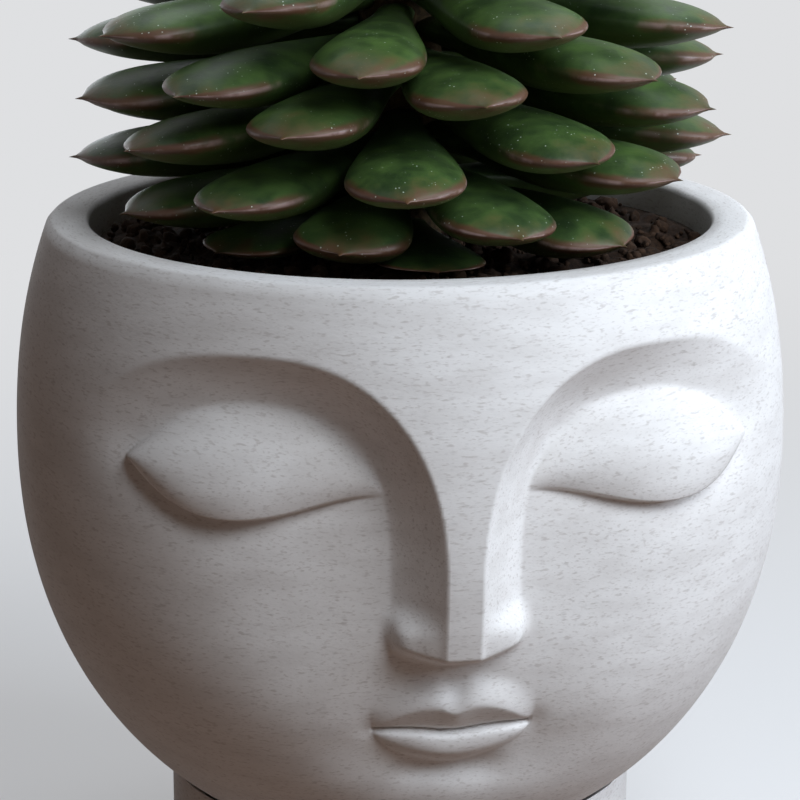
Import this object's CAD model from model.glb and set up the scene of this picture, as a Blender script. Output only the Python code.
import math

import bmesh
import bpy
import numpy as np
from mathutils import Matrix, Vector


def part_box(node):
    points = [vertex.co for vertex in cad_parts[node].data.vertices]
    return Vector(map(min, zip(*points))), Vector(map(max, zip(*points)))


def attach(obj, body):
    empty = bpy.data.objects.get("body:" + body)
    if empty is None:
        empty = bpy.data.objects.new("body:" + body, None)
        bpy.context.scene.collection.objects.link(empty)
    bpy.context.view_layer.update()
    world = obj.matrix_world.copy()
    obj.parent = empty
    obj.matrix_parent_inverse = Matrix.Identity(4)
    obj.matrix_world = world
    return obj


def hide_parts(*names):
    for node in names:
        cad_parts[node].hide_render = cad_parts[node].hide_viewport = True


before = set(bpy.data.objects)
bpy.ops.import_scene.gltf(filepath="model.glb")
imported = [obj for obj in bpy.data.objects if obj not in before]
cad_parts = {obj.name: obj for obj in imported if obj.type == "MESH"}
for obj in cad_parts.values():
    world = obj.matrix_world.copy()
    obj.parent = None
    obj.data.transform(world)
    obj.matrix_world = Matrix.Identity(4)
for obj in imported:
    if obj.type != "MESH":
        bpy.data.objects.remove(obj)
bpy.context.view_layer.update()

bl_info = {
    "name": "Head planter",
    "version": (1, 0, 0),
    "blender": (4, 5, 0),
    "location": "3D View > Sidebar > Planter",
    "description": "Carved stone-effect head planter with a thick-leaved rosette plant",
    "category": "Add Mesh",
}

# Lengths below are in millimetres, and a mesh gets its metres when it is made.
MM = 0.001
HEAD_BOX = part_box("head_pot")
TRAY_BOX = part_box("neck_tray")
SOIL_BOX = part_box("soil")
STEM_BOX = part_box("stem")
GOLDEN_TURN = -137.5

# Egg of the head and the planting space in it
WIDEST_RADIUS = 75.0
UPPER_AXIS = 91.0
LOWER_AXIS = 82.6
EGG_POWER = 2.15
RIM_ABOVE_WIDEST = 42.5
RIM_WALL = 7.8
CAVITY_TAPER = 2.0
CAVITY_FLOOR_WALL = 10.0
DRAINAGE_DEPTH = 15.0
HEAD_BASE_RADIUS = 18.0
HEAD_BASE_CHAMFER = 0.4
DRAIN_RADIUS = 6.0
SEAT_CLEARANCE = 0.3
NECK_WALL = 6.2
NECK_FOOT_CHAMFER = 0.8
TRAY_FLOOR = 3.0

# Brow arches
BROW_PEAK_DROP = 12.5
BROW_PEAK_SIDE = 38.0
RIDGE_HALF_WIDTH = 3.3
BROW_INNER_HEIGHT = 40.5
BROW_INNER_POWER = 2.4
BROW_OUTER_SPAN = 40.0
BROW_OUTER_HEIGHT = 23.5
BROW_OUTER_POWER = 2.2
BROW_WALL_RUN = 10.5
BROW_WALL_POWER = 1.3
TEMPLE_FADE = (33.0, 16.0)

# Hollow of the face: how deep, and how far round the head it reaches
CHIN_START_DROP = 86.0
CHIN_FADE = 19.0
CHEEK_FADE = 42.0
REACH = 27.0
CHEEK_REACH = (10.0, 56.0, 32.0)
EYE_REACH = (13.0, 28.0, 18.0)
REACH_POWER = 2.6

# Closed lids
LID_INNER_SIDE = 15.0
LID_OUTER_SIDE = 66.8
LID_INNER_DROP = 37.9
LID_OUTER_DROP = 33.8
LID_SAG = 6.6
LID_RISE = 14.0
LID_FULL_SHARE = 0.40
LID_EDGE_SHARE = 0.52
LID_EDGE_BLEND = 0.9
UNDER_LID = (0.3, 1.1)
UNDER_LID_GROWTH = (0.36, 0.40)
UNDER_LID_RUN = 6.0
SAG_POWERS = (2.2, 1.5)
RISE_POWERS = (0.8, 0.9)
WIDTH_POWERS = (0.85, 0.55)

# Nose, mouth and chin
NOSE_TIP_DROP = 67.2
NOSE_WING_HEIGHT = 2.6
NOSE_WING_HALF_SPAN = 13.0
NOSE_UNDER_RUN = 3.8
NOSE_UNDER_SIDE = 20.0
NOSE_TIP_ROUNDING = 0.6
WING_PLACE = (8.4, 64.3)
WING_HALF_SIZE = (5.3, 4.3)
MOUTH_DROP = 83.5
MOUTH_HALF_WIDTH = 18.3
MOUTH_LINE = (0.9, 0.6)
MOUTH_DIP = (1.0, 7.0)
THINNEST_LIP = 0.05
UPPER_LIP = (6.6, 2.5)
UPPER_LIP_OUTLINE = 1.7
UPPER_LIP_TAPER = 2.3
UPPER_LIP_POWER = 1.2
UPPER_LIP_CREST = 0.9
UPPER_LIP_FADE = 7.0
LIP_NOTCH = (1.7, 3.0)
LOWER_LIP = (7.6, 2.9)
LOWER_LIP_OUTLINE = (2.4, 0.65)
LOWER_LIP_TAPER = 2.6
LOWER_LIP_EDGE_SHARE = 0.07
LOWER_LIP_EDGE_DEPTH = 0.5
LOWER_LIP_PEAK = 0.50
CORNER_DIMPLE = (0.5, 2.6)
UNDER_LIP = (1.5, 92.6, 2.8, 12.0)

# Rows and columns of the carved skin: the edges of each stretch and the step in it
ROW_EDGES = (1.3, 12.0, 33.0, 45.0, 60.0, 72.0, 79.0, 92.0, 106.0, 123.3)
ROW_STEPS = (1.2, 0.62, 0.28, 0.7, 0.32, 0.6, 0.3, 0.8, 1.6)
SIDE_EDGES = (0.0, 22.0, 72.0, math.pi * WIDEST_RADIUS)
SIDE_STEPS = (0.4, 0.64, 3.4)
CREASE_LEVEL = 38.0
CREASE_BEND_RUN = 7.0
RIM_STEPS = (5, 4)
CAVITY_ROWS = 24

# Round seat in the neck: points along the egg, the step between kept ones, and the share of
# the egg's lower half that they cover
SEAT_POINTS = 400
SEAT_STRIDE = 12
SEAT_SHARE = 0.998
NECK_COLUMNS = 220

# Soil, the number, pitch, height and sink of the waves on it, and its crumbs
SOIL_GAP = 0.35
SOIL_EDGE_DROP = 0.4
SOIL_CROWN = 1.2
SOIL_GRID = (22, 60, 240)
SOIL_WAVES = (40, 0.55, 0.55, 0.5)
SOIL_EDGE_RUN = 4.0
CRUMB_SIZE = (0.45, 1.5, 3.2)
CRUMB_MARGIN = 2.2
CRUMB_SINK = 0.35
CRUMB_SCATTER = 0.9
CRUMB_ROUGHNESS = 0.34

# Drainage pebbles in layers of a close packing, on the drain mesh
PEBBLE_RADIUS = (3.2, 3.7)
PEBBLE_PITCH = 7.6
PEBBLE_LAYER_STEP = 6.1
PEBBLE_REACH = 9
PEBBLE_FLOOR_DEPTH = 14.0
PEBBLE_CLEARANCE = (0.2, 0.9)
PEBBLE_WALL_DROP = 2.0
PEBBLE_SCATTER = 0.35
PEBBLE_ROUGHNESS = 0.10
LUMP_WAVES = (2.2, 1.7)
LUMP_STRETCH = (0.72, 1.0)

# Leaves on their spiral
LEAVES_PER_TIER = 8
TIERS = 11
BARE_PLACES = (2, 5)
FIRST_LEAF_TURN = -0.4
SWUNG_LEAF = 10
SWUNG_LEAF_TURN = -27.0
SWUNG_LEAF_SINK = 2.2
LEAF_RISE = (0.95, 0.50)
FIRST_LEAF_HEIGHT = 5.6
LEAF_REACH = 64.0
LOW_LEAF_SHORTFALL = 18.0
LOW_LEAF_THINNING = 7.2
LOW_LEAF_LEVELLING = 4.4
FULL_SIZE_LEAVES = 48
LEAF_DROOP_STEP = 0.08
UNEVEN_DROOPS = {8: 6.2, 9: 6.3, 11: 6.8, 13: 7.0, 16: 4.8, 18: 4.0, 24: 4.0, 29: 3.0,
                 34: 2.0, 42: 4.5, 47: 3.0}
STEM_RADIUS = (8.0, 3.2)
LEAF_DROOP = 8.0
TOP_LEAF = (16.8, 8.4, 5.0)
TOP_LEAF_TILT = 74.0
TOP_LEAF_POWER = 1.2
FOOT_DEPTH = (0.4, 2.4)

# Leaves of the bud: their number and size, and the start and step of foot, height and tilt
CROWN_LEAVES = 6
CROWN_LEAF = (6.0, 3.6, 1.7)
CROWN_FOOT = (1.5, -0.15)
CROWN_HEIGHT = (-0.6, 0.1)
CROWN_TILT = (74.0, 2.5)

# Shape of a leaf. Each profile gives its least share at the foot, where its swelling starts
# and how far that runs, where its fall starts, and the fall's two powers.
LEAF_GRID = (30, 36)
STATION_POWER = 1.6
LEAF_WIDE = (0.34, 0.0, 0.78, 0.75, 2.5, 0.6)
LEAF_UPPER = (0.40, -0.05, 0.67, 0.62, 2.6, 0.7)
LEAF_LOWER = (0.40, -0.05, 0.60, 0.48, 2.2, 0.8)
SECTION_POWERS = (0.60, 0.58)
LEAF_BACK_SHARE = 0.60
LEAF_TIP_HEIGHT = 0.4
BEAK_START = 0.965
BEAK_RUN = 1.6
BEAK_SHARES = (0.12, 0.13)
LEAF_WIDTH_SPREAD = (0.95, 1.03)
LEAF_WAVE = (7.0, 0.12)
LEAF_ROLL = 5.0

# Marks in the stone: length and height in millimetres, the levels where they start and end,
# and how strongly they show. For flecks, also which of the cells have one.
STONE_BANDS = (14.0, 4.0, 0.35, 0.70, 0.30)
STONE_STREAKS = ((1.9, 0.55, 0.56, 0.74, 0.75), (1.1, 0.36, 0.58, 0.74, 0.60))
STONE_FLECKS = ((2.3, 0.75, 0.46, 0.10, 0.16), (1.2, 0.5, 0.42, 0.10, 0.12))
FLECK_CHOICE = (0.74, 0.97)
STONE_RIPPLE = (1.3, 0.5)
STONE_RIPPLE_DEPTH = 0.08

# Leaf skin: clouds, specks, patches of specks and grains to the millimetre
LEAF_CLOUDS = 0.19
LEAF_SPECKS = 1.7
LEAF_SPECK_PATCHES = 0.26
LEAF_GRAINS = 0.9
LEAF_GRAIN_DEPTH = 0.12
LEAF_RAGGED = 0.38
FLUSH_STRENGTH = 0.78

# Stage, in metres: each lamp's name, azimuth, elevation, distance, size, power and colour
TARGET = Vector((0, 0, 0.09557))
FLOOR_REACH = 6.0
COOL = (0.87, 0.935, 1.0)
LAMPS = (("key", 65, 24, 0.6, 0.28, 2.9, (0.79, 0.89, 1.0)),
         ("fill", 26, 45, 0.8, 0.40, 4.5, COOL), ("top", 165, 62, 0.7, 0.40, 1.4, COOL),
         ("back", 192, 9, 0.8, 0.40, 1.1, COOL))
ROOM_COLOUR = (0.74, 0.48, 0.35, 1)
ROOM_STRENGTH = 0.055
CAMERA_ANGLES = (-9.0, 14.86)
CAMERA_DISTANCE = 0.6
SENSOR_WIDTH = 36
FOCAL_PIXELS = 3046.4
PHOTO_PIXELS = 800


def linear(code):
    """A colour given as an sRGB hex code, as linear red, green and blue."""
    value = np.array([int(code[i:i + 2], 16) for i in (1, 3, 5)]) / 255
    low = value / 12.92
    high = ((value + 0.055) / 1.055) ** 2.4
    return tuple(np.where(value <= 0.04045, low, high))


def smooth(start, run, value):
    """Rise from 0 at start to 1 at start + run: three share squared less two share cubed."""
    share = np.clip((value - start) / run, 0, 1)
    return share * share * (3 - 2 * share)


def bell(distance, run):
    """Bell curve of height 1: e to the minus square of the distance over the run."""
    return np.exp(-((distance / run) ** 2))


def graded(edges, steps):
    """Values that run through the edges, each stretch divided by about its own step."""
    runs = [np.linspace(low, high, max(round((high - low) / step), 1), endpoint=False)
            for low, high, step in zip(edges, edges[1:], steps)]
    return np.concatenate(runs + [[edges[-1]]])


def egg_radius(height, widest):
    """Egg: half a superellipse above the widest level and a shorter one below it."""
    axis = np.where(height > widest, UPPER_AXIS, LOWER_AXIS)
    share = np.clip(np.abs(height - widest) / axis, 0, 1)
    return WIDEST_RADIUS * (1 - share**EGG_POWER) ** (1 / EGG_POWER)


def cavity_radius(height, widest, rim_radius):
    """Planting space: a straight taper above the widest level, a superellipse below it."""
    mid = rim_radius - RIM_WALL - CAVITY_TAPER
    climb = (height - widest) / RIM_ABOVE_WIDEST
    share = np.clip((widest - height) / (LOWER_AXIS - CAVITY_FLOOR_WALL), 0, 1)
    return np.where(height > widest, mid + CAVITY_TAPER * climb,
                    mid * (1 - share**EGG_POWER) ** (1 / EGG_POWER))


def arch(across, climb, span, height, power):
    """Distance inwards from a superellipse arch: one less its level, over the level's slope."""
    across = np.abs(across) / span
    upward = np.maximum(climb, 0) / height
    level = np.maximum((across**power + upward**power) ** (1 / power), 1e-6)
    slope = np.hypot((across / level) ** (power - 1) / span,
                     (upward / level) ** (power - 1) / height)
    return (1 - level) / np.maximum(slope, 1e-6)


def brow_wall(side, drop):
    """From 0 on the brow's crisp edge to 1 at the foot of its wall: one less a power of the
    rest of the way. The arch's outer end opens into the temple."""
    inner = arch(BROW_PEAK_SIDE - side, BROW_PEAK_DROP + BROW_INNER_HEIGHT - drop,
                 BROW_PEAK_SIDE - RIDGE_HALF_WIDTH, BROW_INNER_HEIGHT, BROW_INNER_POWER)
    outer = arch(side - BROW_PEAK_SIDE, BROW_PEAK_DROP + BROW_OUTER_HEIGHT - drop,
                 BROW_OUTER_SPAN, BROW_OUTER_HEIGHT, BROW_OUTER_POWER)
    is_inner = side < BROW_PEAK_SIDE
    inward = np.where(is_inner, inner, outer)
    wall = 1 - (1 - np.clip(inward / BROW_WALL_RUN, 0, 1)) ** BROW_WALL_POWER
    opened = np.where(is_inner, 0, smooth(*TEMPLE_FADE, drop))
    return wall + (1 - wall) * opened


def hump(share, powers):
    """A hump of height 1 over 0 to 1: the share and its rest, each to its own power."""
    rise, fall = powers
    peak = rise / (rise + fall)
    return (share / peak) ** rise * ((1 - share) / (1 - peak)) ** fall


def lid_place(side):
    """Share of the way along the lid, and the drop of its lower edge there."""
    along = np.clip((side - LID_INNER_SIDE) / (LID_OUTER_SIDE - LID_INNER_SIDE), 0, 1)
    line = LID_INNER_DROP + (LID_OUTER_DROP - LID_INNER_DROP) * along
    return along, line, line + LID_SAG * hump(along, SAG_POWERS)


def lid_relief(side, drop, bulge):
    """Dome over the eye, a parabola that goes on as a cosine, which ends in a step at its
    lower edge, with a bell-shaped groove below."""
    along, line, crease = lid_place(side)
    inside = (along > 0) & (along < 1)
    top = line - LID_RISE * hump(along, RISE_POWERS)
    climb = np.clip((crease - drop) / np.maximum(crease - top, 1e-3), 0, 1)
    short = np.clip(1 - climb / LID_FULL_SHARE, 0, 1)
    fall = np.clip((climb - LID_FULL_SHARE) / (1 - LID_FULL_SHARE), 0, 1)
    dome = np.where(climb < LID_FULL_SHARE, 1 - (1 - LID_EDGE_SHARE) * short**2,
                    np.cos(np.pi / 2 * fall))
    below = np.maximum(drop - crease, 0)
    step = smooth(0, LID_EDGE_BLEND, below)
    dome = np.where(drop > crease, LID_EDGE_SHARE * (1 - step), dome)
    shallow, deep = UNDER_LID
    groove = shallow + deep * smooth(*UNDER_LID_GROWTH, along)
    fade = np.sqrt(np.sin(np.pi * along)) * bell(below, UNDER_LID_RUN) * step
    return np.where(inside, bulge * hump(along, WIDTH_POWERS) * dome - groove * fade, 0)


def lip_level(height, lip):
    """Share of a lip's height, counted from the line between the lips."""
    return np.where(lip > THINNEST_LIP, height / np.maximum(lip, THINNEST_LIP), -1)


def lip_relief(side, drop):
    """Two closed lips, less the line between them, the corners' dimples and the chin's groove.
    A lip's outline and its height along the mouth are one less a power of the share. Across,
    the upper one rises as one less a power of the rest and fades above its crest, and the
    lower one starts with a small step, rises as a sine and falls as a cosine."""
    along = np.clip(side / MOUTH_HALF_WIDTH, 0, 1)
    dip, dip_run = MOUTH_DIP
    above = MOUTH_DROP + dip * bell(side, dip_run) - drop
    notch, notch_run = LIP_NOTCH
    upper, upper_bulge = UPPER_LIP
    lower, lower_bulge = LOWER_LIP
    power, fullness = LOWER_LIP_OUTLINE
    upper_height = upper * (1 - along**UPPER_LIP_OUTLINE) - notch * bell(side, notch_run)
    lower_height = lower * (1 - along**power) ** fullness
    level = lip_level(above, upper_height)
    upper_share = (1 - (1 - np.clip(level, 0, 1)) ** UPPER_LIP_POWER) * (
        1 - smooth(0, UPPER_LIP_FADE, above - UPPER_LIP_CREST * upper_height))
    relief = np.where(level >= 0, upper_bulge * (1 - along**UPPER_LIP_TAPER) * upper_share, 0)
    level = lip_level(-above, lower_height)
    start = np.clip(level / LOWER_LIP_EDGE_SHARE, 0, 1) * LOWER_LIP_EDGE_DEPTH
    rise = (1 - LOWER_LIP_EDGE_DEPTH) * np.sin(np.pi / 2 * np.clip(level / LOWER_LIP_PEAK, 0, 1))
    under = np.clip((level - LOWER_LIP_PEAK) / (1 - LOWER_LIP_PEAK), 0, 1)
    fall = np.cos(np.pi / 2 * under)
    bulge = lower_bulge * (1 - along**LOWER_LIP_TAPER)
    relief += np.where(level > 0, bulge * (start + rise) * fall, 0)
    line_depth, line_run = MOUTH_LINE
    relief -= np.where(side < MOUTH_HALF_WIDTH, line_depth, 0) * bell(above, line_run)
    dimple, dimple_run = CORNER_DIMPLE
    relief -= dimple * bell(np.hypot(side - MOUTH_HALF_WIDTH, above), dimple_run)
    depth, groove_drop, run, half_width = UNDER_LIP
    return relief - depth * np.exp(-(((drop - groove_drop) / run) ** 2) - (side / half_width) ** 4)


def skin_radius(turn, drop, sizes, face):
    """Egg less the hollow of the face behind brows and nose, plus lids, lips and wings. The
    hollow halves at its reach round the head, and a wing is a flat-topped bell."""
    rim = sizes.rim_height / MM
    side = np.abs(turn) * WIDEST_RADIUS
    edge = NOSE_TIP_DROP - NOSE_WING_HEIGHT * (side / NOSE_WING_HALF_SPAN) ** 2
    step = np.where(side > NOSE_UNDER_SIDE, 0, smooth(
        -NOSE_TIP_ROUNDING, NOSE_UNDER_RUN + NOSE_TIP_ROUNDING, drop - edge))
    wall = brow_wall(side, drop)
    wall += (1 - wall) * step
    depth = face.mouth_hollow / MM * (1 - smooth(CHIN_START_DROP, CHIN_FADE, drop))
    depth += face.eye_hollow / MM * (1 - smooth(CHIN_START_DROP - CHEEK_FADE, CHEEK_FADE, drop))
    reach = REACH
    for gain, start, run in (CHEEK_REACH, EYE_REACH):
        reach = reach + gain * (1 - smooth(start, run, drop))
    depth = depth * np.exp(-math.log(2) * (side / reach) ** REACH_POWER)
    across = (side - WING_PLACE[0]) / WING_HALF_SIZE[0]
    upward = np.abs(drop - WING_PLACE[1]) / WING_HALF_SIZE[1]
    wing = face.wing_bulge / MM * np.exp(-(across**4) - upward**3) * (1 - step) * wall
    relief = lid_relief(side, drop, face.lid_bulge / MM) + lip_relief(side, drop) + wing
    return egg_radius(rim - drop, rim - RIM_ABOVE_WIDEST) - depth * wall + relief


def ring_points(radius, turn, height):
    """Points at a radius and height, turned round the axis from the middle of the face."""
    height = height + 0 * radius * turn
    return np.stack([radius * np.sin(turn), -radius * np.cos(turn), height], -1)


def grid_faces(rows, columns, loop=False):
    """Quads of a grid that closes round its columns, and round its rows too for a loop."""
    index = np.arange(rows * columns).reshape(rows, columns)
    above = np.roll(index, -1, axis=0)
    if not loop:
        index, above = index[:-1], above[:-1]
    quads = [index, np.roll(index, -1, axis=1), np.roll(above, -1, axis=1), above]
    return np.stack(quads, -1).reshape(-1, 4)


def cap_faces(ring, pole, outward):
    """Triangles from a ring of points to the one point that closes it."""
    beyond = np.roll(ring, -1)
    middle = np.full_like(ring, pole)
    return np.stack([ring, beyond, middle] if outward else [beyond, ring, middle], -1)


def rounded(corners, radius, steps=4):
    """The corners of an outline, each one cut by a quadratic curve that starts a radius away."""
    corners = np.array(corners, float)
    points = [corners[:1]]
    for before, corner, after in zip(corners, corners[1:], corners[2:]):
        back, on = before - corner, after - corner
        cut = min(radius, np.linalg.norm(back) / 2, np.linalg.norm(on) / 2)
        start = corner + back / np.linalg.norm(back) * cut
        end = corner + on / np.linalg.norm(on) * cut
        share = np.linspace(0, 1, steps + 1)[:, None]
        points.append((1 - share) ** 2 * start + 2 * share * (1 - share) * corner + share**2 * end)
    return np.concatenate(points + [corners[-1:]])


def add_object(name, data):
    """A new object with this data, linked into the scene."""
    made = bpy.data.objects.new(name, data)
    bpy.context.scene.collection.objects.link(made)
    return made


def make_piece(name, points, faces, body, material, nodes=(), places=None):
    """Make a smooth piece from points in millimetres, and say what carries and finishes it."""
    mesh = bpy.data.meshes.new(name)
    mesh.from_pydata((points.reshape(-1, 3) * MM).tolist(), [],
                     [face for group in faces for face in group.tolist()])
    mesh.polygons.foreach_set("use_smooth", np.ones(len(mesh.polygons), bool))
    if places is not None:
        layer = mesh.attributes.new("place", "FLOAT_VECTOR", "POINT")
        layer.data.foreach_set("vector", places.astype(np.float32).ravel())
    mesh.materials.append(material)
    mesh.update()
    piece = add_object(name, mesh)
    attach(piece, body)
    if nodes:
        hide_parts(*nodes)
    return piece


def lathe(profile, columns):
    """Points and faces of an outline turned round the axis, its two ends closed on the axis."""
    turn = np.linspace(-np.pi, np.pi, columns, endpoint=False)
    wall = profile[1:-1]
    points = ring_points(wall[:, :1], turn[None], wall[:, 1:])
    poles = [[0, 0, profile[0, 1]], [0, 0, profile[-1, 1]]]
    count = wall.shape[0] * columns
    first, last = np.arange(columns), np.arange(count - columns, count)
    faces = [grid_faces(len(wall), columns), cap_faces(first, count, False),
             cap_faces(last, count + 1, True)]
    return np.concatenate([points.reshape(-1, 3), poles]), faces


def lumps(centres, sizes, seed, rough):
    """Small rough balls: 42 points each, pushed in and out by three sine waves and stretched."""
    ball = bmesh.new()
    bmesh.ops.create_icosphere(ball, subdivisions=2, radius=1)
    unit = np.array([v.co for v in ball.verts])
    faces = np.array([[v.index for v in f.verts] for f in ball.faces])
    ball.free()
    draw = np.random.default_rng(seed)
    count = len(centres)
    pitch, crowding = LUMP_WAVES
    waves = draw.normal(0, pitch, (count, 3, 3))
    phases = draw.uniform(0, 2 * np.pi, (count, 1, 3))
    swell = np.sin(np.einsum("vi,nij->nvj", unit, waves) + phases).sum(-1)
    poses, _ = np.linalg.qr(draw.normal(size=(count, 3, 3)))
    poses *= np.sign(np.linalg.det(poses))[:, None, None]
    stretch = draw.uniform(*LUMP_STRETCH, (count, 1, 3))
    swell = 1 + rough * swell / crowding
    shape = unit[None] * swell[..., None] * stretch * np.reshape(sizes, (-1, 1, 1))
    points = centres[:, None] + np.einsum("nvi,nij->nvj", shape, poses)
    faces = faces[None] + (np.arange(count) * len(unit))[:, None, None]
    tone = np.repeat(draw.uniform(0, 1, count), len(unit))
    return points.reshape(-1, 3), faces.reshape(-1, 3), np.stack([tone, tone, tone], -1)


def add_node(tree, kind, sockets=(), **settings):
    """Add one shader node, set its settings, and set or link each named input."""
    node = tree.nodes.new("ShaderNode" + kind)
    for name, value in settings.items():
        setattr(node, name, value)
    for name, value in dict(sockets).items():
        socket = node.inputs[name]
        if isinstance(value, bpy.types.NodeSocket):
            tree.links.new(value, socket)
        else:
            socket.default_value = (*value, 1) if socket.type == "RGBA" else value
    return node


def start_material(name, **sockets):
    """A new node material with its plain shader values set on the shader's own sockets."""
    material = bpy.data.materials.new(name)
    material.use_nodes = True
    shader = material.node_tree.nodes["Principled BSDF"]
    for socket, value in sockets.items():
        shader.inputs[socket.replace("_", " ")].default_value = value
    return material, material.node_tree, shader


def blend(tree, share, first, second):
    """Mix two colours, each a socket or linear values, by a share."""
    return add_node(tree, "Mix", {0: share, 6: first, 7: second}, data_type="RGBA").outputs[2]


def calculate(tree, operation, first, second=0.0):
    """One sum on numbers."""
    return add_node(tree, "Math", {0: first, 1: second}, operation=operation).outputs[0]


def product(tree, value, *factors):
    """A value times each of the factors in turn."""
    for factor in factors:
        value = calculate(tree, "MULTIPLY", value, factor)
    return value


def ramp(tree, value, low, high):
    """0 where the value is at low, 1 where it is at high, smooth between them."""
    return add_node(tree, "MapRange", {"Value": value, "From Min": low, "From Max": high},
                    interpolation_type="SMOOTHSTEP").outputs[0]


def noise(tree, place, scale, detail, roughness=0.5):
    """Cloudy values from 0 to 1, at a scale counted in clouds to one unit of the place."""
    return add_node(tree, "TexNoise", {"Vector": place, "Scale": scale, "Detail": detail,
                                       "Roughness": roughness}).outputs[0]


def cells(tree, place, scale):
    """Cells scattered over the place: the distance from each one's middle, and its own lot."""
    cell = add_node(tree, "TexVoronoi", {"Vector": place, "Scale": scale}).outputs
    lot = add_node(tree, "SeparateColor", {0: cell["Color"]}).outputs[0]
    return cell["Distance"], lot


def give_relief(tree, shader, strength, depth, height):
    """Show a value as fine relief of this depth in millimetres."""
    bump = add_node(tree, "Bump", {"Strength": strength, "Distance": depth * MM, "Height": height})
    tree.links.new(bump.outputs[0], shader.inputs["Normal"])


def seen_directly(tree):
    """1 on rays from the camera, a mirror or glass, and 0 on those that only carry light."""
    path = add_node(tree, "LightPath").outputs
    beyond = calculate(tree, "MAXIMUM", path["Is Glossy Ray"], path["Is Transmission Ray"])
    return calculate(tree, "MAXIMUM", path["Is Camera Ray"], beyond)


def stone_effect_print(name, finish):
    """Stone-effect plastic, printed in thin layers: matte off-white, with short dark flecks
    drawn out along the layers, soft bands of tone and a faint layer ripple. Real layers are
    about 0.2 mm, too fine to show, so the ripple is drawn at 0.5 mm."""
    material, tree, shader = start_material(name, Roughness=0.78, Specular_IOR_Level=0.18)
    place = add_node(tree, "TexCoord").outputs["Object"]
    across, ahead, upward = add_node(tree, "SeparateXYZ", {0: place}).outputs
    turn = calculate(tree, "ARCTAN2", across, product(tree, ahead, -1.0))
    radius = calculate(tree, "SQRT", calculate(
        tree, "ADD", calculate(tree, "POWER", across, 2.0), calculate(tree, "POWER", ahead, 2.0)))
    side = product(tree, turn, WIDEST_RADIUS * MM)
    around = add_node(tree, "CombineXYZ", {0: side, 1: upward, 2: radius}).outputs[0]

    def stretched(length, height):
        """The place round the head, counted in marks of this length and height."""
        scale = (1 / (length * MM), 1 / (height * MM), 1 / (height * MM))
        return add_node(tree, "VectorMath", {0: around, 1: scale},
                        operation="MULTIPLY").outputs[0]

    colour = finish.stone
    for detail, marks in ((3.0, (STONE_BANDS,)), (1.5, STONE_STREAKS)):
        for length, height, low, high, strength in marks:
            mark = noise(tree, stretched(length, height), 1.0, detail)
            share = product(tree, ramp(tree, mark, low, high), strength)
            colour = blend(tree, share, colour, finish.stone_shade)
    for length, height, low, high, strength in STONE_FLECKS:
        distance, lot = cells(tree, stretched(length, height), 1.0)
        chosen = product(tree, ramp(tree, lot, *FLECK_CHOICE), strength)
        share = product(tree, ramp(tree, distance, low, high), chosen)
        colour = blend(tree, share, colour, finish.fleck)
    tree.links.new(colour, shader.inputs["Base Color"])
    ripple = noise(tree, stretched(*STONE_RIPPLE), 1.0, 2.0)
    give_relief(tree, shader, 0.35, STONE_RIPPLE_DEPTH, ripple)
    return material


def leaf_skin(name, finish):
    """Waxy leaf: matte bloom over dark green, lighter yellow-green below, a glossy pale
    margin, a reddish-brown flush that spreads from the tip along the margin, and fine pale
    specks. The piece's place layer gives the share of the way along the leaf, the height in
    its section and the leaf's own tone."""
    material, tree, shader = start_material(
        name, IOR=1.45, Specular_IOR_Level=0.38, Subsurface_Weight=0.06,
        Subsurface_Radius=(0.6, 1.0, 0.3), Subsurface_Scale=0.002)
    spot = add_node(tree, "TexCoord").outputs["Object"]
    layer = add_node(tree, "Attribute", attribute_name="place").outputs["Vector"]
    along, upward, tone = add_node(tree, "SeparateXYZ", {0: layer}).outputs
    cloud = noise(tree, spot, LEAF_CLOUDS / MM, 5.0)
    ragged = product(tree, calculate(tree, "SUBTRACT", cloud, 0.5), LEAF_RAGGED)
    ragged_along = calculate(tree, "ADD", along, ragged)
    paler = calculate(tree, "ADD", ramp(tree, cloud, 0.25, 0.80), product(tree, tone, 0.25))
    green = blend(tree, paler, finish.leaf_top, finish.leaf_bloom)
    below = ramp(tree, calculate(tree, "ADD", upward, ragged), 0.05, -0.45)
    colour = blend(tree, below, green, finish.leaf_back)
    outer = ramp(tree, ragged_along, 0.90, 1.03)
    rim = calculate(tree, "ABSOLUTE", upward)
    reach = calculate(tree, "ADD", product(tree, ramp(tree, rim, 0.34, 0.02), 0.19),
                      product(tree, tone, 0.05))
    reach = calculate(tree, "ADD", along, reach)
    flush = ramp(tree, calculate(tree, "ADD", reach, ragged), 0.87, 1.07)
    tip = product(tree, calculate(tree, "MAXIMUM", outer, flush), FLUSH_STRENGTH)
    colour = blend(tree, tip, colour, finish.leaf_flush)
    line = product(tree, ramp(tree, rim, 0.050, 0.0), ramp(tree, ragged_along, 0.60, 0.92),
                   ramp(tree, cloud, 0.42, 0.60))
    colour = blend(tree, product(tree, line, 0.40), colour, finish.leaf_margin)
    distance, lot = cells(tree, spot, LEAF_SPECKS / MM)
    patch = noise(tree, spot, LEAF_SPECK_PATCHES / MM, 1.0)
    specks = product(tree, ramp(tree, distance, 0.30, 0.16), ramp(tree, lot, 0.86, 0.93),
                     ramp(tree, patch, 0.46, 0.60), ramp(tree, along, 0.35, 0.65), 0.65)
    colour = blend(tree, specks, colour, finish.leaf_glint)
    tree.links.new(colour, shader.inputs["Base Color"])
    wax = add_node(tree, "MapRange", {"Value": cloud, "To Min": 0.34, "To Max": 0.58})
    wax = calculate(tree, "SUBTRACT", wax.outputs[0], product(tree, line, 0.20))
    tree.links.new(wax, shader.inputs["Roughness"])
    give_relief(tree, shader, 0.5, LEAF_GRAIN_DEPTH, noise(tree, spot, LEAF_GRAINS / MM, 3.0))
    return material


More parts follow.
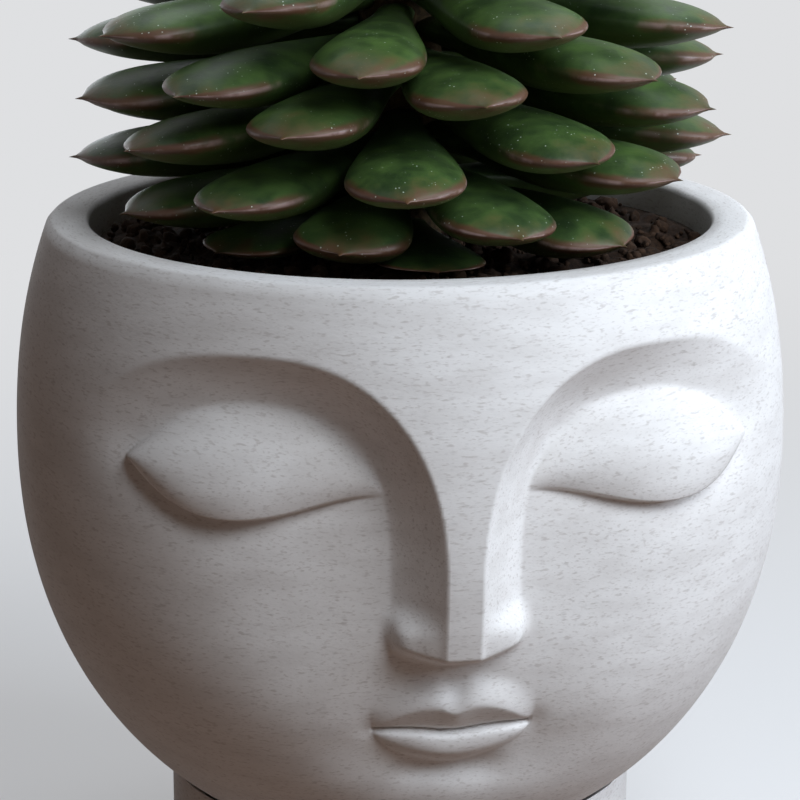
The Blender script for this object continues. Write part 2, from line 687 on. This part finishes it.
def grainy(name, dark, light, grain, roughness, depth, tone=0.0):
    """A rough natural surface: cloudy between two colours at one grain, with that grain as
    relief, and each lump a little lighter or darker than the next."""
    material, tree, shader = start_material(name, Roughness=roughness, Specular_IOR_Level=0.25)
    spot = add_node(tree, "TexCoord").outputs["Object"]
    cloud = noise(tree, spot, 1 / (grain * MM), 5.0, 0.62)
    share = ramp(tree, cloud, 0.30, 0.72)
    if tone:
        layer = add_node(tree, "Attribute", attribute_name="place")
        share = calculate(tree, "ADD", product(tree, share, 1 - tone),
                          product(tree, layer.outputs["Fac"], tone))
    colour = blend(tree, share, linear(dark), linear(light))
    tree.links.new(colour, shader.inputs["Base Color"])
    give_relief(tree, shader, 0.8, depth, cloud)
    return material


def finished(name, maker, *values, **looks):
    """The material of this name, made the first time it is asked for."""
    return bpy.data.materials.get(name) or maker(name, *values, **looks)


def stone():
    """Stone-effect print, shared by the head and the neck."""
    return finished("stone_effect_pla_printed", stone_effect_print,
                    bpy.context.scene.planter_finish)


def leaf_profile(share, least, start, run, peak, fall, end):
    """A smooth swell from the least share, which falls from its peak to 0 where the beak
    starts, as one less a power of the way, to another power."""
    swell = least + (1 - least) * smooth(start, run, share)
    gone = np.clip((share - peak) / (BEAK_START - peak), 0, 1)
    return swell * (1 - gone**fall) ** end


def leaf_surface(length, width, thickness):
    """One leaf along +x for each length. Its half width and its heights above and below
    follow three profiles, joined to a small straight beak by a root of squares. Its section
    is a bow, 1 less the share across squared, to a power."""
    stations, around = LEAF_GRID
    share = 1 - (1 - np.linspace(0, 1, stations)) ** STATION_POWER
    beak = np.clip((1 - share) / (BEAK_RUN * (1 - BEAK_START)), 0, 1)
    wide = np.hypot(leaf_profile(share, *LEAF_WIDE), BEAK_SHARES[0] * beak)
    above = np.hypot(leaf_profile(share, *LEAF_UPPER), BEAK_SHARES[1] * beak)
    below = np.hypot(leaf_profile(share, *LEAF_LOWER), BEAK_SHARES[1] * beak)
    angle = np.linspace(0, 2 * np.pi, around, endpoint=False)
    across, upper = np.cos(angle), np.sin(angle) >= 0
    bow = 1 - across**2
    upward, downward = (bow**power for power in SECTION_POWERS)
    rise = np.where(upper, (1 - LEAF_BACK_SHARE) * upward * above[:, None],
                    -LEAF_BACK_SHARE * downward * below[:, None])
    long, broad, thick = (np.reshape(size, (-1, 1, 1)) for size in (length, width, thickness))
    share = share[None, :, None]
    lift = LEAF_TIP_HEIGHT / LEAF_REACH * long * share**3
    points = np.broadcast_arrays(long * share, broad / 2 * wide[None, :, None] * across,
                                 lift + thick * rise)
    places = np.broadcast_arrays(share, np.where(upper, bow, -bow), np.ones_like(long))
    return np.stack(points, -1), np.stack(places, -1)


def turned(points, axis, degrees):
    """Points turned about one axis, by an angle for each leaf."""
    first, second = [(1, 2), (2, 0), (0, 1)][axis]
    angle = np.reshape(np.radians(degrees), (-1, 1, 1))
    result = points.copy()
    result[..., first] = points[..., first] * np.cos(angle) - points[..., second] * np.sin(angle)
    result[..., second] = points[..., first] * np.sin(angle) + points[..., second] * np.cos(angle)
    return result


def make_leaves(name, size, seat, nodes, seed):
    """A group of leaves: each is rolled and tilted, and its foot set at its place on the stem."""
    length, width, thickness = size
    foot, height, tilt, turn = seat
    stations, around = LEAF_GRID
    draw = np.random.default_rng(seed)
    count = len(length)
    points, places = leaf_surface(length, width * draw.uniform(*LEAF_WIDTH_SPREAD, count),
                                  thickness)
    places[..., 2] = draw.uniform(0, 1, (count, 1, 1))
    run, wave_height = LEAF_WAVE
    wave = np.sin(points[..., 0] / run + draw.uniform(0, 6, (count, 1, 1)))
    points[..., 2] += wave_height * wave * places[..., 0]
    points = turned(points, 0, draw.uniform(-LEAF_ROLL, LEAF_ROLL, count))
    points = turned(points, 1, -tilt)
    points[..., 0] += np.reshape(foot, (-1, 1, 1))
    points[..., 2] += np.reshape(height, (-1, 1, 1))
    points = turned(points, 2, turn - 90)
    per_leaf = stations * around
    starts = (np.arange(count) * per_leaf)[:, None, None]
    sides = (grid_faces(stations, around)[None] + starts).reshape(-1, 4)
    foot_points = points[:, 0].mean(1)
    poles = count * per_leaf + np.arange(count)
    ring = np.arange(around)[None] + starts[:, 0]
    caps = np.stack([np.roll(ring, -1, 1), ring, np.repeat(poles[:, None], around, 1)], -1)
    points = np.concatenate([points.reshape(-1, 3), foot_points])
    places = np.concatenate([places.reshape(-1, 3), places[:, 0, 0]])
    piece = make_piece(name, points, [sides, caps.reshape(-1, 3)], "planting",
                       finished("waxy_leaf_grown", leaf_skin, bpy.context.scene.planter_finish),
                       nodes, places)
    close_leaf_tips(piece)
    return piece


def close_leaf_tips(piece):
    """Merge the ring of equal points at each leaf's tip, and turn the faces outwards."""
    shape = bmesh.new()
    shape.from_mesh(piece.data)
    bmesh.ops.remove_doubles(shape, verts=shape.verts, dist=1e-6)
    bmesh.ops.recalc_face_normals(shape, faces=shape.faces)
    shape.to_mesh(piece.data)
    shape.free()


def sight(azimuth, elevation):
    """Unit vector from the object towards a place seen at this azimuth and elevation."""
    turn, rise = math.radians(azimuth), math.radians(elevation)
    return Vector((math.sin(turn) * math.cos(rise), -math.cos(turn) * math.cos(rise),
                   math.sin(rise)))


def length_property(name, description, default):
    """A length in metres."""
    return bpy.props.FloatProperty(name=name, description=description, default=default,
                                   unit="LENGTH")


def colour_property(name, description, code):
    """A colour, its default given as an sRGB hex code."""
    return bpy.props.FloatVectorProperty(name=name, description=description, subtype="COLOR",
                                         default=linear(code))


class PlanterSizes(bpy.types.PropertyGroup):
    """Sizes and numbers of the pieces"""
    rim_height: length_property(
        "Rim height", "Height of the pot's rim above the table", HEAD_BOX[1].z)
    head_base: length_property(
        "Head base", "Height of the head's flat base in the tray", HEAD_BOX[0].z)
    neck_radius: length_property(
        "Neck radius", "Outer radius of the neck that is also the drip tray", TRAY_BOX[1].x)
    neck_height: length_property(
        "Neck height", "Height of the neck up to the crease under the head", TRAY_BOX[1].z)
    edge_round: length_property("Edge rounding", "How far the printed edges are softened", 0.0004)
    soil_base: length_property(
        "Soil base", "Height where the soil starts above the pebbles", SOIL_BOX[0].z)
    soil_below_rim: length_property("Soil below rim", "How far the soil lies below the rim", 0.006)
    crumbs: bpy.props.IntProperty(
        name="Soil crumbs", description="Number of loose crumbs on the soil", default=1500)
    pebbles: bpy.props.IntProperty(
        name="Pebble layers", description="Layers of drainage pebbles", default=2)
    leaf_width: length_property("Leaf width", "Width of a full-size leaf", 0.021)
    leaf_thickness: length_property("Leaf thickness", "Thickness of a full-size leaf", 0.0105)


class PlanterFace(bpy.types.PropertyGroup):
    """Depths of the carving"""
    mouth_hollow: length_property(
        "Hollow of the face", "Depth of the face behind brows and nose", 0.0064)
    eye_hollow: length_property("Hollow of the eyes", "Further depth of the eye sockets", 0.0040)
    lid_bulge: length_property("Lid bulge", "Height of the closed lids", 0.0047)
    wing_bulge: length_property("Nostril wings", "Height of the wings beside the nose", 0.0046)


class PlanterFinish(bpy.types.PropertyGroup):
    """Colours of stone and leaves"""
    stone: colour_property("Stone", "Light tone of the stone-effect print", "#E2E0DF")
    stone_shade: colour_property("Stone shade", "Darker tone in the print's bands", "#C3BEBB")
    fleck: colour_property("Flecks", "Short dark flecks along the layers", "#6E655E")
    leaf_top: colour_property("Leaf", "Upper side of the leaves", "#20311A")
    leaf_bloom: colour_property("Leaf bloom", "Waxy bloom on the leaves", "#465F2E")
    leaf_back: colour_property("Leaf underside", "Underside of the leaves", "#46542A")
    leaf_flush: colour_property("Leaf flush", "Reddish-brown tips", "#5A3229")
    leaf_margin: colour_property("Leaf margin", "Pale line along the margin", "#C2A7A6")
    leaf_glint: colour_property("Leaf specks", "Fine pale specks of wax", "#D6E2D4")


class PLANTER_OT_head(bpy.types.Operator):
    """Carved head with its planting space and drain hole"""
    bl_idname = "planter.head"
    bl_label = "Head"

    def execute(self, context):
        sizes, face = context.scene.planter_sizes, context.scene.planter_face
        rim, base = sizes.rim_height / MM, sizes.head_base / MM
        widest = rim - RIM_ABOVE_WIDEST
        half = graded(SIDE_EDGES, SIDE_STEPS) / WIDEST_RADIUS
        turn = np.concatenate([-half[:0:-1], half[:-1]])[None]
        level = graded(ROW_EDGES, ROW_STEPS)
        level = (level * (rim - base) / level[-1])[::-1, None]
        crease = lid_place(np.abs(turn) * WIDEST_RADIUS)[2] - CREASE_LEVEL
        drop = level + crease * bell(level - CREASE_LEVEL, CREASE_BEND_RUN)
        skin = ring_points(skin_radius(turn, drop, sizes, face), turn, rim - drop)
        rim_radius = egg_radius(rim, widest)
        corner_steps, flat_steps = RIM_STEPS
        step = np.linspace(0, np.pi / 2, corner_steps)[1:]
        edge = ROW_EDGES[0]
        inner = rim_radius - RIM_WALL
        short, long = edge * (1 - np.sin(step)), edge * (1 - np.cos(step))
        rim_line = np.concatenate([
            np.stack([rim_radius - long, rim - short], -1),
            np.linspace((rim_radius - edge, rim), (inner + edge, rim), flat_steps)[1:-1],
            np.stack([inner + short, rim - long], -1)])
        floor = SOIL_BOX[0].z / MM - DRAINAGE_DEPTH
        wall = np.linspace(rim - edge, floor, CAVITY_ROWS)[1:]
        inside = np.stack([cavity_radius(wall, widest, rim_radius), wall], -1)
        hole = [(DRAIN_RADIUS, floor), (DRAIN_RADIUS, base),
                (HEAD_BASE_RADIUS - HEAD_BASE_CHAMFER, base)]
        rows = np.concatenate([rim_line, inside, hole])
        rest = ring_points(rows[:, :1], turn, rows[:, 1:])
        points = np.concatenate([skin, rest])
        faces = grid_faces(*points.shape[:2], loop=True)
        make_piece("carved_head", points, [faces], "head", stone(), ["head_pot"])
        return {"FINISHED"}


class PLANTER_OT_neck(bpy.types.Operator):
    """Round neck that is also the drip tray"""
    bl_idname = "planter.neck"
    bl_label = "Neck"

    def execute(self, context):
        sizes = context.scene.planter_sizes
        radius, height = sizes.neck_radius / MM, sizes.neck_height / MM
        widest = sizes.rim_height / MM - RIM_ABOVE_WIDEST
        level = np.linspace(widest - LOWER_AXIS * SEAT_SHARE, widest, SEAT_POINTS)
        ring = egg_radius(level, widest) + SEAT_CLEARANCE
        inner = radius - NECK_WALL
        seat = np.stack([ring, level - SEAT_CLEARANCE], -1)
        seat = seat[(ring > inner) & (ring < radius)][::-SEAT_STRIDE]
        top, low = np.interp((radius, inner), ring, level) - SEAT_CLEARANCE
        foot = NECK_FOOT_CHAMFER
        corners = [(0, 0), (radius - foot, 0), (radius, foot), (radius, min(top, height)),
                   *seat[1:].tolist(), (inner, low), (inner, TRAY_FLOOR), (0, TRAY_FLOOR)]
        points, faces = lathe(rounded(corners, sizes.edge_round / MM), NECK_COLUMNS)
        make_piece("neck_saucer", points, faces, "tray", stone(), ["neck_tray"])
        return {"FINISHED"}


class PLANTER_OT_soil(bpy.types.Operator):
    """Drainage pebbles on their mesh, and soil with loose crumbs on top"""
    bl_idname = "planter.soil"
    bl_label = "Soil and drainage"

    def execute(self, context):
        sizes = context.scene.planter_sizes
        rim, base = sizes.rim_height / MM, sizes.soil_base / MM
        widest = rim - RIM_ABOVE_WIDEST
        rim_radius = egg_radius(rim, widest)
        top = rim - sizes.soil_below_rim / MM
        draw = np.random.default_rng(4)
        soil = finished("potting_soil_damp", grainy, "#1D130D", "#4A3628",
                        grain=1.1, roughness=0.95, depth=0.5, tone=0.45)
        rows, ring_count, columns = SOIL_GRID
        level = np.linspace(base, top - SOIL_EDGE_DROP, rows)
        wall = cavity_radius(level, widest, rim_radius) - SOIL_GAP
        corners = [(0, base), *np.stack([wall, level], -1).tolist()]
        rings = np.linspace(wall[-1], 0, ring_count)[1:]
        crown = SOIL_CROWN * (1 - (rings / wall[-1]) ** 2)
        profile = np.array(corners + np.stack([rings, top + crown], -1).tolist())
        points, faces = lathe(profile, columns)
        wave_count, pitch, wave_height, sink = SOIL_WAVES
        waves = draw.normal(0, pitch, (wave_count, 2))
        phase = draw.uniform(0, 2 * np.pi, wave_count)
        swell = np.sin(points[:, :2] @ waves.T + phase).sum(1) / math.sqrt(wave_count / 2)
        edge = smooth(wall[-1], -SOIL_EDGE_RUN, np.hypot(points[:, 0], points[:, 1]))
        is_top = points[:, 2] > top - SOIL_EDGE_DROP / 4
        points[:, 2] += np.where(is_top, wave_height * swell * edge - sink, 0)
        make_piece("potting_soil", points, faces, "planting", soil, ["soil"])
        count = sizes.crumbs
        reach = cavity_radius(top, widest, rim_radius) - CRUMB_MARGIN
        away = reach * np.sqrt(draw.uniform(0.02, 1, count))
        turn = draw.uniform(-np.pi, np.pi, count)
        least, spread, rarity = CRUMB_SIZE
        size = least + spread * draw.uniform(0, 1, count) ** rarity
        height = top + SOIL_CROWN * (1 - (away / reach) ** 2) - CRUMB_SINK
        height = height + draw.uniform(0, CRUMB_SCATTER, count)
        centres = ring_points(away, turn, height)
        points, faces, tones = lumps(centres, size, 5, CRUMB_ROUGHNESS)
        make_piece("soil_crumbs", points, [faces], "planting", soil, (), tones)
        pitch, radius = PEBBLE_PITCH, PEBBLE_RADIUS[1]
        grid = np.arange(-PEBBLE_REACH, PEBBLE_REACH + 1)
        column, row = [axis.ravel() for axis in np.meshgrid(grid, grid)]
        flat = np.stack([pitch * (column + row / 2), pitch * row * math.sqrt(3) / 2], -1)
        floor = base - PEBBLE_FLOOR_DEPTH
        off_floor, off_wall = PEBBLE_CLEARANCE
        centres = []
        for layer in range(sizes.pebbles):
            height = floor + radius + off_floor + layer * PEBBLE_LAYER_STEP
            spots = flat + layer * np.array([pitch / 2, pitch / math.sqrt(12)])
            room = cavity_radius(np.array(height - PEBBLE_WALL_DROP), widest, rim_radius)
            spots = spots[np.hypot(*spots.T) < room - radius - off_wall]
            spots = spots + draw.uniform(-PEBBLE_SCATTER, PEBBLE_SCATTER, spots.shape)
            centres.append(np.column_stack([spots, np.full(len(spots), height)]))
        centres = np.concatenate(centres)
        size = draw.uniform(*PEBBLE_RADIUS, len(centres))
        points, faces, tones = lumps(centres, size, 6, PEBBLE_ROUGHNESS)
        clay = finished("clay_pebbles_fired", grainy, "#5A2E1E", "#A4654A",
                        grain=2.0, roughness=0.85, depth=0.15, tone=0.5)
        make_piece("drain_pebbles", points, [faces], "head", clay,
                   ["drainage_layer"], tones)
        paint(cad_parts["drain_mesh"], finished(
            "black_polyethylene_moulded", grainy, "#101011", "#1D1D1F",
            grain=0.8, roughness=0.5, depth=0.02))
        return {"FINISHED"}


def paint(node, material):
    """Give a kept CAD node its finish."""
    node.data.materials.clear()
    node.data.materials.append(material)


class PLANTER_OT_leaves(bpy.types.Operator):
    """Rosette of thick leaves on its stem, with the closed bud at the crown"""
    bl_idname = "planter.leaves"
    bl_label = "Leaves"

    def execute(self, context):
        sizes = context.scene.planter_sizes
        soil_height = (sizes.rim_height - sizes.soil_below_rim) / MM
        index = np.arange(LEAVES_PER_TIER * TIERS)
        share = np.clip((index - FULL_SIZE_LEAVES) / (index[-1] - FULL_SIZE_LEAVES), 0, None)
        rise = LEAF_RISE[0] + (LEAF_RISE[1] - LEAF_RISE[0]) * share
        rise[0] = 0
        height = soil_height + FIRST_LEAF_HEIGHT + np.cumsum(rise)
        low = np.clip(1 - index / (2 * LEAVES_PER_TIER), 0, 1)
        lowest = np.clip(1 - index / LEAVES_PER_TIER, 0, 1)
        length = LEAF_REACH - LOW_LEAF_SHORTFALL * low - STEM_RADIUS[0]
        top_length, top_width, top_thickness = TOP_LEAF
        length = length + (top_length - length) * share
        width = sizes.leaf_width / MM
        width = width + (top_width - width) * share
        thickness = sizes.leaf_thickness / MM
        thickness = thickness + (top_thickness - thickness) * share - LOW_LEAF_THINNING * lowest
        droop = LEAF_DROOP - LEAF_DROOP_STEP * index - LOW_LEAF_LEVELLING * lowest
        droop[list(UNEVEN_DROOPS)] = list(UNEVEN_DROOPS.values())
        tilt = -droop + (TOP_LEAF_TILT + droop) * share**TOP_LEAF_POWER
        turn = FIRST_LEAF_TURN + GOLDEN_TURN * index
        turn[SWUNG_LEAF] += SWUNG_LEAF_TURN
        height[SWUNG_LEAF] -= SWUNG_LEAF_SINK
        stem_top = STEM_BOX[1].z / MM
        waist = height[FULL_SIZE_LEAVES]
        narrow = np.clip((height - waist) / (stem_top - waist), 0, 1)
        stem = STEM_RADIUS[0] + (STEM_RADIUS[1] - STEM_RADIUS[0]) * narrow
        sunk, raised = FOOT_DEPTH
        foot = stem - sunk + raised * np.abs(np.sin(np.radians(tilt)))
        for tier in range(TIERS):
            own = np.arange(tier * LEAVES_PER_TIER, (tier + 1) * LEAVES_PER_TIER)
            own = own[~np.isin(own, BARE_PLACES)]
            make_leaves(f"leaves_{tier + 1:02d}", (length[own], width[own], thickness[own]),
                        (foot[own], height[own], tilt[own], turn[own]),
                        [f"leaf_tier_{tier + 1:02d}"], 20 + tier)
        last = np.arange(CROWN_LEAVES)
        foot, height, tilt = (start + step * last for start, step in (
            CROWN_FOOT, (stem_top + CROWN_HEIGHT[0], CROWN_HEIGHT[1]), CROWN_TILT))
        make_leaves("crown_leaves", [np.full(CROWN_LEAVES, size) for size in CROWN_LEAF],
                    (foot, height, tilt, GOLDEN_TURN * last), ["crown_bud"], 40)
        paint(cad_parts["stem"], finished(
            "plant_stem_corky", grainy, "#2A2014", "#5B4A30",
            grain=1.5, roughness=0.9, depth=0.3))
        return {"FINISHED"}


class PLANTER_OT_stage(bpy.types.Operator):
    """Pale floor, soft studio light and the camera"""
    bl_idname = "planter.stage"
    bl_label = "Stage"

    def execute(self, context):
        scene = context.scene
        mesh = bpy.data.meshes.new("floor")
        corners = ((-1, -1), (1, -1), (1, 1), (-1, 1))
        mesh.from_pydata([(x * FLOOR_REACH, y * FLOOR_REACH, 0) for x, y in corners], [],
                         [(0, 1, 2, 3)])
        floor = add_object("floor", mesh)
        material, tree, shader = start_material("backdrop_paper_matte", Roughness=0.9)
        seen = seen_directly(tree)
        colour = blend(tree, seen, linear("#70594A"), linear("#E4E5E7"))
        tree.links.new(colour, shader.inputs["Base Color"])
        place = add_node(tree, "TexCoord").outputs["Object"]
        away = add_node(tree, "VectorMath", {0: place}, operation="LENGTH").outputs["Value"]
        far = ramp(tree, away, 0.08, 0.60)
        pale = calculate(tree, "ADD", 0.45, product(tree, far, 0.55))
        glow = add_node(tree, "Emission", {"Color": linear("#E4E5E7"), "Strength": 0.95})
        mixed = add_node(tree, "MixShader", {
            0: product(tree, seen, pale), 1: shader.outputs[0], 2: glow.outputs[0]})
        tree.links.new(mixed.outputs[0], tree.nodes["Material Output"].inputs[0])
        mesh.materials.append(material)
        for name, azimuth, elevation, distance, size, power, colour in LAMPS:
            light = bpy.data.lights.new(name, "AREA")
            light.size, light.energy, light.color = size, power, colour
            lamp = add_object(name, light)
            lamp.location = TARGET + distance * sight(azimuth, elevation)
            lamp.rotation_euler = (TARGET - lamp.location).to_track_quat("-Z", "Y").to_euler()
        world = bpy.data.worlds.new("studio")
        scene.world = world
        world.use_nodes = True
        tree = world.node_tree
        sky = tree.nodes["Background"]
        sky.inputs["Color"].default_value = ROOM_COLOUR
        sky.inputs["Strength"].default_value = ROOM_STRENGTH
        pale = add_node(tree, "Background", {"Color": linear("#E6E7E9"), "Strength": 1.0})
        mixed = add_node(tree, "MixShader", {
            0: seen_directly(tree), 1: sky.outputs[0], 2: pale.outputs[0]})
        tree.links.new(mixed.outputs[0], tree.nodes["World Output"].inputs[0])
        camera = bpy.data.cameras.new("camera")
        camera.sensor_width = SENSOR_WIDTH
        camera.lens = SENSOR_WIDTH * FOCAL_PIXELS / PHOTO_PIXELS
        camera.clip_start, camera.clip_end = 0.01, 50
        holder = add_object("camera", camera)
        azimuth, elevation = CAMERA_ANGLES
        holder.location = TARGET + CAMERA_DISTANCE * sight(azimuth, elevation)
        holder.rotation_euler = (math.pi / 2 - math.radians(elevation), 0, math.radians(azimuth))
        scene.camera = holder
        scene.view_settings.view_transform = "Standard"
        return {"FINISHED"}


class PLANTER_PT_panel(bpy.types.Panel):
    """Sizes, colours and the pieces of the planter"""
    bl_label = "Head planter"
    bl_idname = "PLANTER_PT_panel"
    bl_space_type = "VIEW_3D"
    bl_region_type = "UI"
    bl_category = "Planter"

    def draw(self, context):
        for group in (context.scene.planter_sizes, context.scene.planter_face,
                      context.scene.planter_finish):
            for name in group.__annotations__:
                self.layout.prop(group, name)
        for operator in OPERATORS:
            self.layout.operator(operator.bl_idname)


GROUPS = {"planter_sizes": PlanterSizes, "planter_face": PlanterFace,
          "planter_finish": PlanterFinish}
OPERATORS = (PLANTER_OT_stage, PLANTER_OT_head, PLANTER_OT_neck, PLANTER_OT_soil,
             PLANTER_OT_leaves)


def register():
    """Add the property groups, operators and panel."""
    for piece in (*GROUPS.values(), *OPERATORS, PLANTER_PT_panel):
        bpy.utils.register_class(piece)
    for name, group in GROUPS.items():
        setattr(bpy.types.Scene, name, bpy.props.PointerProperty(type=group))


def unregister():
    """Take the property groups, operators and panel away again."""
    for name in GROUPS:
        delattr(bpy.types.Scene, name)
    for piece in reversed((*GROUPS.values(), *OPERATORS, PLANTER_PT_panel)):
        bpy.utils.unregister_class(piece)


def main():
    """Make every piece."""
    register()
    bpy.ops.planter.stage()
    bpy.ops.planter.head()
    bpy.ops.planter.neck()
    bpy.ops.planter.soil()
    bpy.ops.planter.leaves()


if __name__ == "__main__":
    main()
